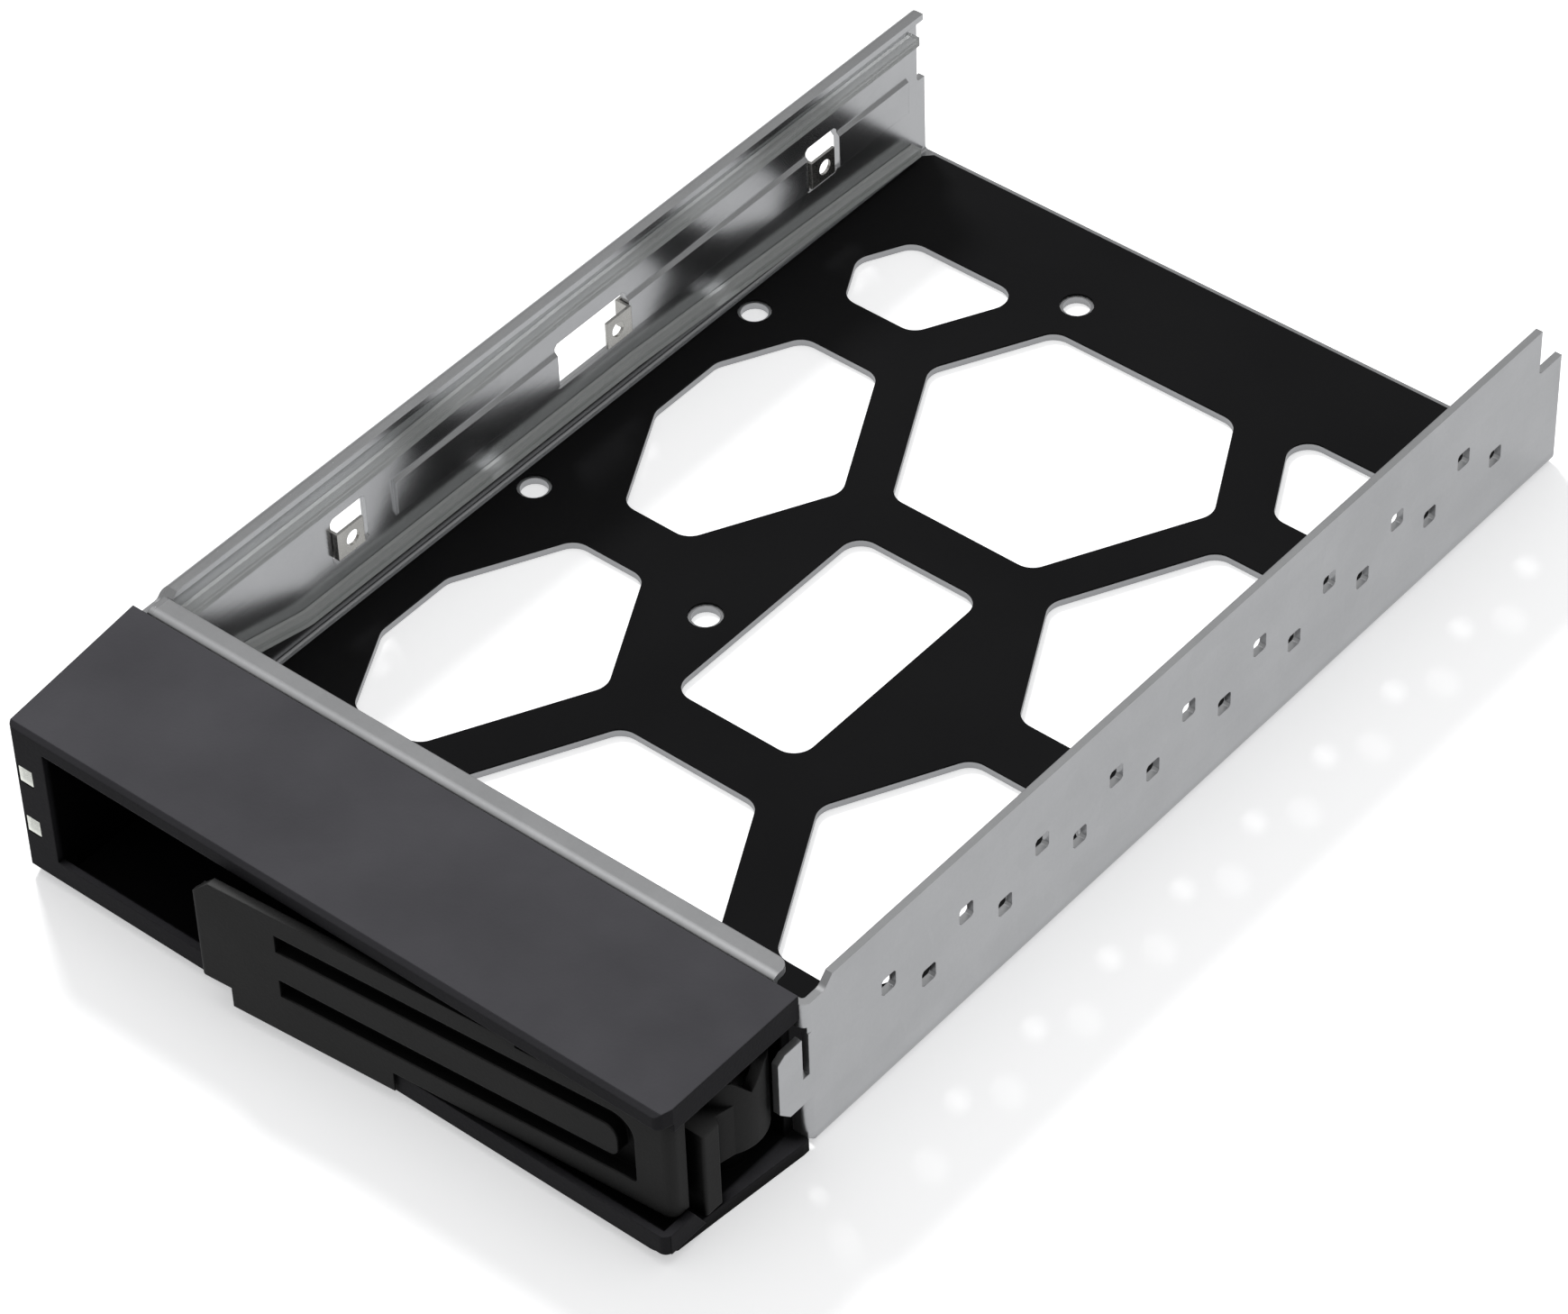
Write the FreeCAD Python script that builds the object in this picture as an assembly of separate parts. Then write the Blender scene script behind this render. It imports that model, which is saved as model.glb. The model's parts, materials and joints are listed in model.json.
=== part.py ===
import FreeCAD, Part
import math
import os
from FreeCAD import Vector

# Hot swap drive caddy, in millimetres.
# The origin is the centre of the drive's four bottom screw holes, on the underside of the tray.
# +X is to the right, +Y runs from the bezel to the drive's connector end and +Z is up.

# Tray sheet
tray_width = 105.0
tray_length = 151.1
wall_height = 25.6
sheet = 1.0
bend_inside = 0.5
left_lip = 2.2

# Drive screw patterns in the floor
hole_pitch_x = 95.25
hole_pitch_y = 44.45
connector_setback = 41.275
small_pitch_x = 61.72
small_pitch_y = 76.6
small_setback = 14.0
small_edge_x = 47.32
drive_hole_r = 1.9

# Honeycomb cut-outs of the floor
cell_slant = 62.0
cell_corner = 3.0
cell_axis_x = 1.4
cell_side_margin = 7.5
cell_rear_margin = 16.8
cell_front_margin = 9.0
cell_least = 6.0

# Insulating film
film = 0.3
film_side_gap = 2.0
film_front_gap = 3.0
film_rear_gap = 0.8
film_hole_extra = 0.45
small_hole_sides = 16

# Front wall
front_wall_drop = 0.1
front_lip = 3.5
front_wall_left_inset = 1.6
front_wall_right_inset = 4.8

# Outlines of the two side walls
front_step_drop = 1.6
front_step_length = 3.6
right_rear_step = 5.0
right_rear_step_z = 18.4
left_rear_step = 1.6
left_rear_step_z = 13.5

# Small windows of the right wall
vent_size = 2.6
vent_pitch = 14.34
vent_count = 9
vent_row_shift = 7.3
vent_start = 15.0
vent_low_z = 11.0
vent_high_z = 15.6

# Tongue of the right wall that holds the bezel's side
tongue_length = 4.8
tongue_low_z = 8.4
tongue_high_z = 19.2
tongue_clearance = 0.5
tongue_slot = 1.2
tongue_root_z = 12.6

# Pressed bead and spring windows of the left wall
bead_low_z = 9.4
bead_high_z = 15.6
bead_depth = 0.5
bead_front_gap = 44.0
bead_rear_gap = 4.0
window_low_z = 9.0
window_high_z = 16.6
short_window = 6.5
long_window = 14.0
station_front = 39.2
station_middle = 81.8
station_rear = 129.4

# Guide springs in those windows
spring_sheet = 0.4
spring_low_z = 10.3
spring_high_z = 14.6
spring_tab = 4.6
spring_leaf = 13.0
spring_bow = 0.7
spring_ring_r = 1.15

# Bezel housing
bezel_depth = 23.8
bezel_drop = 0.1
bezel_right_inset = 0.8
bezel_left_flare = 0.3
bezel_left_taper = 2.4
bezel_corner = 0.6
shell_wall = 2.0
shell_back = 1.5
rim_depth = 2.0
rim_lip_depth = 0.9
rim_top_lip = 2.5
rim_bottom_lip = 5.0
rim_bottom_bevel = 1.8
rim_return = 5.0
base_front_inset = 1.5
side_strip = 3.85
side_strip_wall = 1.0
post_width = 7.7

# Light guides
guide_width = 1.6
guide_height = 1.4
guide_clearance = 0.15
window_height = 2.4
window_reach = 2.1
window_depth = 3.0
upper_window_z = 17.4
lower_window_z = 9.0
upper_guide_front_z = 20.8
upper_guide_rear_z = 22.0
upper_guide_rise = 38.0
lower_guide_level = 9.5
lower_guide_fall = 16.5
lower_guide_mid_z = 5.3
lower_guide_rear_z = 2.9
lower_guide_tail = 62.0
guide_rear_gap = 3.0
retainer_depth = 3.6
retainer_length = 4.0

# Lever
lever_angle = 4.4
lever_length = 69.1
lever_right_inset = 2.1
lever_recess = 2.6
lever_panel = 2.6
lever_low_z = 5.4
lever_high_z = 21.95
lever_right_drop = 0.8
lever_drop_length = 21.5
lever_corner = 1.4
top_rebate = 3.2
top_edge = 1.3
tip_chamfer = 3.0
lip_low_z = 2.3
lip_start = 4.7
lip_least = 0.15
groove_width = 2.8
groove_end_width = 2.5
groove_depth = 1.8
groove_low_z = 10.0
groove_high_z = 17.5
groove_left_inset = 12.5
groove_right_inset = 5.05
groove_outer_r = 3.2
groove_inner_r = 2.0
rib_low_z = 11.0
rib_high_z = 16.2
rib_depth = 3.0
claw_low_z = 2.5
claw_high_z = 15.8
claw_reach = 5.4
claw_neck = 2.0
claw_setback = 5.5
claw_length = 3.5
lever_clearance = 0.35

# Pivot
pivot_inset = 6.7
pivot_setback = 7.6
pin_r = 1.5
pin_fit = 0.05
hub_r = 5.8
hub_low_z = 7.6
hub_high_z = 19.4
hub_cup_r = 4.3
hub_cup_depth = 3.5
hub_notch = 2.8
boss_r = 3.0
ring_thickness = 0.5
washer_thickness = 0.3
washer_r = 3.9
washer_play = 0.04

# Bracket that holds the pin's upper end
bracket_reach = 14.8
bracket_front = 11.3
bracket_front_cut = 4.0
bracket_plate = 2.0
bracket_leg = 8.6
bracket_low_z = 4.0
bracket_notch = 2.4
bracket_flange = 1.4

# Torsion spring, of square wire
wire = 0.6
coil_r = 2.6
coil_turns = 2.25
coil_pitch = 1.6
spring_hook = 2.6
spring_gap = 0.35

# Screws of the bezel and the bracket
screw_r = 1.4
screw_hole_r = 1.6
screw_boss_r = 3.2
screw_head_r = 2.6
screw_head = 1.5
screw_reach = 8.0
screw_z = 13.0
screw_post_inset = 2.4
screw_from_post = 33.1
screw_from_bracket = 17.0
bracket_screw_pitch = 9.2

# Places that follow from the sizes above
half_width = tray_width / 2
tray_rear = hole_pitch_y / 2 + connector_setback
tray_front = tray_rear - tray_length
bezel_front = tray_front - bezel_depth
bend_outside = bend_inside + sheet
floor_top = sheet
film_top = floor_top + film
wall_inner_x = half_width - sheet
front_wall_height = wall_height - front_wall_drop
front_wall_left = -half_width + front_wall_left_inset
front_wall_right = half_width - front_wall_right_inset
front_step_height = wall_height - front_step_drop
bezel_top = wall_height - bezel_drop
bezel_right = half_width - bezel_right_inset
bezel_left_back = half_width + bezel_left_flare
bezel_left_front = bezel_left_back - bezel_left_taper
post_inner_x = bezel_left_back - post_width
shell_back_y = tray_front - shell_back
shell_ceiling = bezel_top - shell_wall
side_opening_top = bezel_top - side_strip
pivot_x = half_width - pivot_inset
pivot_y = tray_front - pivot_setback
lever_right_x = half_width - lever_right_inset
lever_tip_x = lever_right_x - lever_length
groove_left_x = lever_tip_x + groove_left_inset
groove_right_x = lever_right_x - groove_right_inset
claw_tip_x = pivot_x + claw_reach
boss_top_z = hub_low_z - washer_thickness - ring_thickness - 3 * washer_play
bracket_high_z = shell_ceiling
bracket_plate_z = bracket_high_z - bracket_plate
bracket_left_x = pivot_x - bracket_reach
bracket_right_x = bezel_right - side_strip_wall - 0.2
guide_outer_x = -wall_inner_x + 0.1
guide_inner_x = guide_outer_x + guide_width


def at(plane, u, v, w):
    """Point with the outline coordinates u, v on a plane, w along the plane's normal."""
    if plane == "xy":
        return Vector(u, v, w)
    if plane == "xz":
        return Vector(u, w, v)
    return Vector(w, u, v)


def normal(plane, length):
    """Vector of that length along the plane's normal."""
    return at(plane, 0, 0, length)


def slab(plane, start, end, corners, radius=0.0):
    """Solid from an outline with rounded corners; a corner may bring its own radius, limited by its sides."""
    points = []
    for corner in corners:
        place = Vector(corner[0], corner[1], 0)
        if not points or (place - points[-1][0]).Length > 1e-4:
            points.append((place, corner[2] if len(corner) > 2 else radius))
    if (points[0][0] - points[-1][0]).Length < 1e-4:
        points.pop()
    count = len(points)
    arcs = {}
    joints = []
    for index, (here, size) in enumerate(points):
        to_before = points[index - 1][0] - here
        to_after = points[(index + 1) % count][0] - here
        room = 0.49 * min(to_before.Length, to_after.Length)
        to_before.normalize()
        to_after.normalize()
        half = to_before.getAngle(to_after) / 2
        if size <= 0 or half > math.radians(89.5):
            joints.append((here, here))
            continue
        reach = min(size / math.tan(half), room)
        size = reach * math.tan(half)
        first = here + to_before * reach
        last = here + to_after * reach
        inward = (to_before + to_after).normalize()
        joints.append((first, last))
        arcs[index] = (first, here + inward * (size / math.sin(half) - size), last)
    wire_edges = []
    for index in range(count):
        if index in arcs:
            first, middle, last = (at(plane, p.x, p.y, start) for p in arcs[index])
            wire_edges.append(Part.Arc(first, middle, last).toShape())
        leave = joints[index][1]
        reach = joints[(index + 1) % count][0]
        if (leave - reach).Length > 1e-6:
            begin = at(plane, leave.x, leave.y, start)
            finish = at(plane, reach.x, reach.y, start)
            wire_edges.append(Part.LineSegment(begin, finish).toShape())
    face = Part.Face(Part.Wire(wire_edges))
    return face.extrude(normal(plane, end - start))


def block(x0, x1, y0, y1, z0, z1, radius=0.0):
    """Upright block with rounded vertical edges."""
    return slab("xy", z0, z1, [(x0, y0), (x1, y0), (x1, y1), (x0, y1)], radius)


def cut_corners(u0, u1, v0, v1, cut):
    """Outline of a rectangle with its corners cut off."""
    return [
        (u0 + cut, v0),
        (u1 - cut, v0),
        (u1, v0 + cut),
        (u1, v1 - cut),
        (u1 - cut, v1),
        (u0 + cut, v1),
        (u0, v1 - cut),
        (u0, v0 + cut),
    ]


def ring_of_corners(u, v, radius):
    """Outline of a small hole through thin sheet or film, with many short sides."""
    turns = [2 * math.pi * index / small_hole_sides for index in range(small_hole_sides)]
    return [(u + radius * math.cos(turn), v + radius * math.sin(turn)) for turn in turns]


def rod(x, y, z0, z1, radius):
    """Vertical cylinder."""
    return Part.makeCylinder(radius, z1 - z0, Vector(x, y, z0))


def bar_y(x, z, y0, y1, radius):
    """Cylinder along Y."""
    return Part.makeCylinder(radius, y1 - y0, Vector(x, y0, z), Vector(0, 1, 0))


def fuse(first, *others):
    """One clean solid out of several that touch."""
    return first.fuse(list(others)).removeSplitter()


def band(path, thickness):
    """Outline of a strip of even thickness along a path of (u, v, bend radius) points."""
    left = []
    right = []
    for index, (u, v, bend) in enumerate(path):
        here = Vector(u, v, 0)
        towards = []
        if index > 0:
            towards.append((here - Vector(path[index - 1][0], path[index - 1][1], 0)).normalize())
        if index < len(path) - 1:
            towards.append((Vector(path[index + 1][0], path[index + 1][1], 0) - here).normalize())
        along = towards[0] if len(towards) == 1 else (towards[0] + towards[1]).normalize()
        across = Vector(-along.y, along.x, 0)
        stretch = 1 / math.cos(along.getAngle(towards[0]))
        offset = across * (thickness / 2 * stretch)
        turn = 0.0
        if len(towards) == 2:
            turn = towards[0].x * towards[1].y - towards[0].y * towards[1].x
        outer = bend + thickness / 2 if bend else 0.0
        inner = max(bend - thickness / 2, 0.0)
        left.append((here.x + offset.x, here.y + offset.y, inner if turn > 0 else outer))
        right.append((here.x - offset.x, here.y - offset.y, outer if turn > 0 else inner))
    return left + right[::-1]


# Floor and its cut-outs

def cell(low, high, left_tip, right_tip):
    """Honeycomb cut-out between two heights of Y, with a tip at each side."""
    slope = math.tan(math.radians(cell_slant))
    return [
        (left_tip[0] + (left_tip[1] - low) / slope, low),
        (right_tip[0] - (right_tip[1] - low) / slope, low),
        right_tip,
        (right_tip[0] - (high - right_tip[1]) / slope, high),
        (left_tip[0] + (high - left_tip[1]) / slope, high),
        left_tip,
    ]


def clipped(corners, axis, limit, side):
    """Part of an outline that lies on one side of a line of constant X (axis 0) or Y (axis 1)."""
    kept = []
    for index, here in enumerate(corners):
        before = corners[index - 1]
        here_inside = side * (limit - here[axis]) >= 0
        before_inside = side * (limit - before[axis]) >= 0
        if here_inside != before_inside:
            share = (limit - before[axis]) / (here[axis] - before[axis])
            kept.append((before[0] + share * (here[0] - before[0]), before[1] + share * (here[1] - before[1])))
        if here_inside:
            kept.append(here)
    return kept


def within_margins(corners):
    """Cut-out clipped by the margins of the floor."""
    corners = clipped(corners, 0, half_width - cell_side_margin, 1)
    corners = clipped(corners, 0, -half_width + cell_side_margin, -1)
    corners = clipped(corners, 1, tray_rear - cell_rear_margin, 1)
    return clipped(corners, 1, tray_front + cell_front_margin, -1)


def span(corners, axis):
    """Length of an outline along X (axis 0) or Y (axis 1)."""
    places = [corner[axis] for corner in corners]
    return max(places) - min(places) if places else 0.0


def cell_outlines():
    """All cut-outs of the floor that the margins leave large enough."""
    axis = cell_axis_x
    side_cells = [
        cell(-17.7, 22.3, (-48.3, 5.0), (-15.4, 1.4)),
        cell(-67.0, -26.4, (-48.3, -48.2), (-15.6, -44.6)),
        cell(31.6, 46.7, (-43.9, 39.2), (-20.2, 46.7)),
    ]
    outlines = side_cells + [[(2 * axis - x, y) for x, y in corners][::-1] for corners in side_cells]
    outlines.append(cell(4.6, 43.7, (axis - 23.4, 27.4), (axis + 23.4, 27.4)))
    outlines.append(cell(-89.7, -48.7, (axis - 23.4, -72.4), (axis + 23.4, -72.4)))
    outlines.append([(-9.1, -40.0), (11.4, -40.0), (11.4, -3.4), (-9.1, -3.4)])
    outlines = [within_margins(corners) for corners in outlines]
    return [corners for corners in outlines if min(span(corners, 0), span(corners, 1)) > cell_least]


def drive_holes():
    """Centres of the holes for a 3.5-inch drive and for a 2.5-inch drive."""
    places = []
    for side in (-1, 1):
        for end in (-1, 1):
            places.append((side * hole_pitch_x / 2, end * hole_pitch_y / 2))
    for x in (small_edge_x - small_pitch_x, small_edge_x):
        for y in (tray_rear - small_setback - small_pitch_y, tray_rear - small_setback):
            places.append((x, y))
    return places


def cut_cells(plate, z0, z1):
    """Take the honeycomb out of a flat plate."""
    for corners in cell_outlines():
        plate = plate.cut(slab("xy", z0 - 1, z1 + 1, corners, cell_corner))
    return plate


# Tray pan

def screw_places():
    """Name, x, z of each screw through the front wall."""
    leg_x = bracket_left_x + bracket_leg / 2
    return [
        ("bezel_screw_left", -post_inner_x - screw_post_inset, screw_z),
        ("bezel_screw_centre", -post_inner_x + screw_from_post, screw_z),
        ("bezel_screw_right", bracket_left_x - screw_from_bracket, screw_z),
        ("bracket_screw_lower", leg_x, screw_z - bracket_screw_pitch / 2),
        ("bracket_screw_upper", leg_x, screw_z + bracket_screw_pitch / 2),
    ]


def window_span(station, length):
    """Start and end of a window of the left wall, from its middle's distance behind the front."""
    middle = tray_front + station - 3.5
    return middle - length / 2, middle + length / 2


def windows():
    """The three windows of the left wall: name, start, end, and the end that carries the spring."""
    front = window_span(station_front, short_window)
    middle = window_span(station_middle + 3.7, long_window)
    rear = window_span(station_rear + 3.1, short_window)
    return [
        ("guide_spring_front", front[0], front[1], -1),
        ("guide_spring_middle", middle[0], middle[1], 1),
        ("guide_spring_rear", rear[0], rear[1], -1),
    ]


def channel():
    """Floor with the two side walls, and the left wall's lip, as one bent section."""
    w = half_width
    i = wall_inner_x
    h = wall_height
    lip_x = -w + left_lip
    corners = [
        (-w, 0, bend_outside),
        (w, 0, bend_outside),
        (w, h),
        (i, h),
        (i, sheet, bend_inside),
        (-i, sheet, bend_inside),
        (-i, h - sheet, bend_inside),
        (lip_x, h - sheet),
        (lip_x, h),
        (-w, h, bend_outside),
    ]
    return slab("xz", tray_front + bend_outside, tray_rear, corners)


def front_wall():
    """Front wall with its bend up from the floor and its lip to the rear."""
    y = tray_front
    h = front_wall_height
    corners = [
        (y, 0, bend_outside),
        (y + bend_outside + 1, 0),
        (y + bend_outside + 1, sheet),
        (y + sheet, sheet, bend_inside),
        (y + sheet, h - sheet, bend_inside),
        (y + front_lip, h - sheet),
        (y + front_lip, h),
        (y, h, bend_outside),
    ]
    wall = slab("yz", front_wall_left, front_wall_right, corners)
    corner_r = front_lip * 0.45
    keep = block(front_wall_left, front_wall_right, y, y + front_lip, h - sheet - 1, h + 1)
    keep = keep.makeFillet(corner_r, [e for e in keep.Edges if upright_at(e, front_wall_right, y + front_lip)])
    top = wall.common(keep)
    rest = wall.cut(block(front_wall_left - 1, front_wall_right + 1, y - 1, y + front_lip + 9, h - sheet, h + 1))
    return fuse(top, rest)


def upright_at(edge, x, y):
    """Whether an edge is the vertical one at that place."""
    ends = [v.Point for v in edge.Vertexes]
    return all(abs(p.x - x) < 1e-3 and abs(p.y - y) < 1e-3 for p in ends)


def side_wall_front(sign, flange):
    """Front stretch of a side wall, turned inward by a flange at the bezel's back."""
    w = sign * half_width
    i = sign * wall_inner_x
    y = tray_front
    corners = [
        (w, y + bend_outside + 1),
        (w, y, bend_outside),
        (w - sign * flange, y),
        (w - sign * flange, y + sheet),
        (i, y + sheet, bend_inside),
        (i, y + bend_outside + 1),
    ]
    return slab("xy", bend_outside, front_step_height, corners)


def front_trims():
    """Steps that the side walls leave free at their front ends, under the front wall's lip."""
    high = wall_height + 1
    end = tray_front + bend_outside + front_step_length
    outline = [
        (tray_front - 1, front_step_height),
        (end - 1.5, front_step_height, 1.2),
        (end, high - 1, 0.5),
        (end, high),
        (tray_front - 1, high),
    ]
    reach = left_lip + 2 * sheet
    left = slab("yz", -half_width - 1, -half_width + reach, outline)
    right = slab("yz", half_width - reach, half_width + 1, outline)
    return [left, right]


def rear_trims():
    """Steps in the rear ends of the side walls."""
    high = wall_height + 1
    reach = 8.0
    trims = []
    for x0, x1, step, step_z in (
        (-half_width - 1, -half_width + reach, left_rear_step, left_rear_step_z),
        (half_width - reach, half_width + 1, right_rear_step, right_rear_step_z),
    ):
        trims.append(slab("yz", x0, x1, [
            (tray_rear - step, high),
            (tray_rear - step, step_z, 0.5),
            (tray_rear + 1, step_z),
            (tray_rear + 1, high),
        ]))
    return trims


def tray_pan():
    gap = 0.6
    flange_x = front_wall_right + gap
    walls = fuse(channel(), side_wall_front(1, half_width - flange_x), side_wall_front(-1, sheet))
    for trim in front_trims() + rear_trims():
        walls = walls.cut(trim)
    pan = fuse(walls, front_wall(), tongue())
    pan = pan.cut(block(flange_x, wall_inner_x, tray_front - 1, tray_front + sheet + 0.2,
                        tongue_low_z - tongue_clearance, tongue_high_z + tongue_clearance))
    pan = pan.cut(block(wall_inner_x - 1, half_width + 1, tray_front - tongue_slot / 2,
                        tray_front + tongue_slot / 2, tongue_root_z, tongue_high_z + 1))
    pan = cut_cells(pan, 0, sheet)
    for x, y in drive_holes():
        pan = pan.cut(rod(x, y, -1, sheet + 1, drive_hole_r))
    half = vent_size / 2
    for row_z, shift in ((vent_high_z, 0.0), (vent_low_z, vent_row_shift)):
        for index in range(vent_count):
            y = tray_front + vent_start + shift + index * vent_pitch
            vent = cut_corners(y - half, y + half, row_z - half, row_z + half, 0.35)
            pan = pan.cut(slab("yz", wall_inner_x - 1, half_width + 1, vent))
    pan = press_bead(pan)
    for name, start, end, side in windows():
        opening = cut_corners(start, end, window_low_z, window_high_z, 0.5)
        pan = pan.cut(slab("yz", -half_width - 1, -wall_inner_x + bead_depth + 1, opening))
    for name, x, z in screw_places():
        hole = ring_of_corners(x, z, screw_hole_r)
        pan = pan.cut(slab("xz", tray_front - 1, tray_front + sheet + 1, hole))
    for guide in (upper_guide_shape, lower_guide_shape):
        room = block(-wall_inner_x, guide_inner_x + 2, tray_front - 1, tray_front + bend_outside + 1,
                     sheet, front_wall_height)
        pan = pan.cut(guide(guide_clearance).common(room))
    return pan.removeSplitter()


def tongue():
    """Tongue of the right wall that runs forward over the bezel's side."""
    y0 = tray_front - tongue_length
    y1 = tray_front + bend_outside + 1
    cut = 1.8
    corners = [
        (y0, tongue_low_z + cut),
        (y0 + cut, tongue_low_z),
        (y1, tongue_low_z),
        (y1, tongue_high_z),
        (y0 + 1.2, tongue_high_z),
        (y0, tongue_high_z - 0.8),
    ]
    return slab("yz", wall_inner_x, half_width, corners)


def press_bead(pan):
    """Long bead of the left wall, pressed inwards, with the groove outside."""
    y0 = tray_front + bead_front_gap
    y1 = tray_rear - bead_rear_gap
    outer = -half_width
    inner = -wall_inner_x
    slope = bead_depth
    ridge = slab("xz", y0, y1, [
        (inner - 0.2, bead_low_z),
        (inner, bead_low_z),
        (inner + bead_depth, bead_low_z + slope),
        (inner + bead_depth, bead_high_z - slope),
        (inner, bead_high_z),
        (inner - 0.2, bead_high_z),
    ])
    groove = slab("xz", y0 + slope, y1 - slope, [
        (outer - 1, bead_low_z + 0.4),
        (outer, bead_low_z + 0.4),
        (outer + bead_depth, bead_low_z + 0.4 + slope),
        (outer + bead_depth, bead_high_z - 0.4 - slope),
        (outer, bead_high_z - 0.4),
        (outer - 1, bead_high_z - 0.4),
    ])
    return pan.fuse(ridge).cut(groove)


def insulating_film():
    """Thin film on the floor, with the floor's cut-outs and wider screw holes."""
    side = half_width - film_side_gap
    plate = slab("xy", floor_top, film_top,
                 cut_corners(-side, side, tray_front + film_front_gap, tray_rear - film_rear_gap, 1.2))
    plate = cut_cells(plate, floor_top, film_top)
    for x, y in drive_holes():
        hole = ring_of_corners(x, y, drive_hole_r + film_hole_extra)
        plate = plate.cut(slab("xy", floor_top - 1, film_top + 1, hole))
    return plate


def guide_spring(start, end, side):
    """Stamped spring: a ring tab in the window and a bowed leaf along the wall's outer face."""
    edge = start if side < 0 else end
    inside = -wall_inner_x + bead_depth + spring_sheet / 2 + 0.05
    outside = -half_width - spring_sheet / 2 - 0.1
    neck = edge - side * (spring_sheet / 2 + 0.1)
    path = [
        (inside, neck - side * spring_tab, 0.0),
        (inside, neck, 0.0),
        (outside, neck, 0.0),
        (outside, neck + side * 2.0, 0.0),
        (outside - spring_bow, neck + side * (spring_leaf / 2), 4.0),
        (outside, neck + side * spring_leaf, 0.0),
    ]
    leaf = slab("xy", spring_low_z, spring_high_z, band(path, spring_sheet))
    ring_z = (spring_low_z + spring_high_z) / 2
    ring_y = neck - side * spring_tab * 0.55
    return leaf.cut(slab("yz", inside - 1, inside + 1, ring_of_corners(ring_y, ring_z, spring_ring_r)))


# Bezel

def bezel_outline():
    """Plan of the bezel from the back left corner round to the back right corner."""
    return [
        (-bezel_left_back, tray_front),
        (-bezel_left_front, bezel_front, bezel_corner),
        (bezel_right - 0.6, bezel_front, 1.2),
        (bezel_right, bezel_front + 2.0),
        (bezel_right, tray_front),
    ]


def base_outline():
    """Plan of the base plate, whose right side is narrower at the front."""
    right = bezel_right - base_front_inset
    return [
        (-bezel_left_back, tray_front),
        (-bezel_left_front, bezel_front, bezel_corner),
        (right, bezel_front, 1.6),
        (bezel_right - 0.6, tray_front - bezel_depth * 0.6),
        (half_width, tray_front - 1.0),
        (half_width, tray_front),
    ]


def rim_return_wall():
    """Low wall that carries the rim's bottom lip round the right front corner."""
    end = bezel_front + rim_return
    foot = end + 0.6 * (rim_bottom_lip - shell_wall)
    return slab("yz", bezel_right - base_front_inset + 0.1, bezel_right - 0.3, [
        (bezel_front + rim_lip_depth - 0.1, shell_wall - 0.1),
        (foot, shell_wall - 0.1),
        (end, rim_bottom_lip),
        (bezel_front + rim_lip_depth - 0.1, rim_bottom_lip),
    ])


def bezel_shell():
    wide = half_width + 5
    rim_y = bezel_front + rim_depth
    body = slab("xy", shell_wall, bezel_top, bezel_outline())
    body = fuse(body, slab("xy", 0, shell_wall, base_outline()))
    body = body.cut(slab("yz", -wide, wide, [
        (bezel_front - 1, -1),
        (bezel_front + rim_bottom_bevel * 1.6, -1),
        (bezel_front + rim_bottom_bevel * 1.6, 0),
        (bezel_front, rim_bottom_bevel),
        (bezel_front - 1, rim_bottom_bevel),
    ]))
    body = body.cut(slab("yz", -wide, wide, [
        (bezel_front - 1, bezel_top + 1),
        (bezel_front - 1, bezel_top - 0.6),
        (bezel_front, bezel_top - 0.6),
        (bezel_front + 0.6, bezel_top),
        (bezel_front + 0.6, bezel_top + 1),
    ]))
    body = body.cut(block(-post_inner_x, wide, bezel_front - 1, rim_y + 0.1, rim_bottom_lip,
                          bezel_top - rim_top_lip))
    body = body.cut(block(-post_inner_x, wide, bezel_front + rim_lip_depth, rim_y + 0.1, shell_wall,
                          rim_bottom_lip + 0.1))
    body = body.cut(block(-post_inner_x, wide, rim_y, shell_back_y, shell_wall, side_opening_top))
    body = body.cut(block(-post_inner_x, bezel_right - side_strip_wall, rim_y, shell_back_y,
                          side_opening_top - 0.1, shell_ceiling))
    body = body.cut(block(bracket_right_x - 0.4, wide, shell_back_y - 0.1, tray_front + 1, shell_wall,
                          side_opening_top))
    body = fuse(body, rim_return_wall())
    body = body.cut(tongue_room())
    boss_y = shell_back_y - screw_reach
    for name, x, z in screw_places():
        if name in ("bezel_screw_centre", "bezel_screw_right"):
            body = body.fuse(bar_y(x, z, boss_y, shell_back_y + 0.2, screw_boss_r))
            web = block(x - 0.6, x + 0.6, boss_y + 1.5, shell_back_y + 0.2, shell_wall - 0.2, z - 1)
            body = body.fuse(web)
    body = body.fuse(rod(pivot_x, pivot_y, shell_wall - 0.2, boss_top_z, boss_r))
    body = body.fuse(block(pivot_x - 0.8, pivot_x + 0.8, pivot_y, shell_back_y + 0.2, shell_wall - 0.2,
                           boss_top_z - 0.6))
    body = body.cut(rod(pivot_x, pivot_y, 0.6, boss_top_z + 1, pin_r + 0.02))
    for name, x, z in screw_places():
        reach = screw_r + 0.02 if name.startswith("bezel_screw") else screw_hole_r
        body = body.cut(bar_y(x, z, boss_y + 0.8, tray_front + 1, reach))
    for guide in (upper_guide_shape, lower_guide_shape):
        body = body.cut(guide(guide_clearance))
    return body.cut(retainer_body(0.1)).removeSplitter()


def tongue_room():
    """Room for the tongue at the bezel's side."""
    y0 = tray_front - tongue_length - tongue_clearance
    return block(wall_inner_x - 0.35, half_width + 2, y0, tray_front + 1, tongue_low_z - 0.6,
                 tongue_high_z + 0.6)


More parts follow.
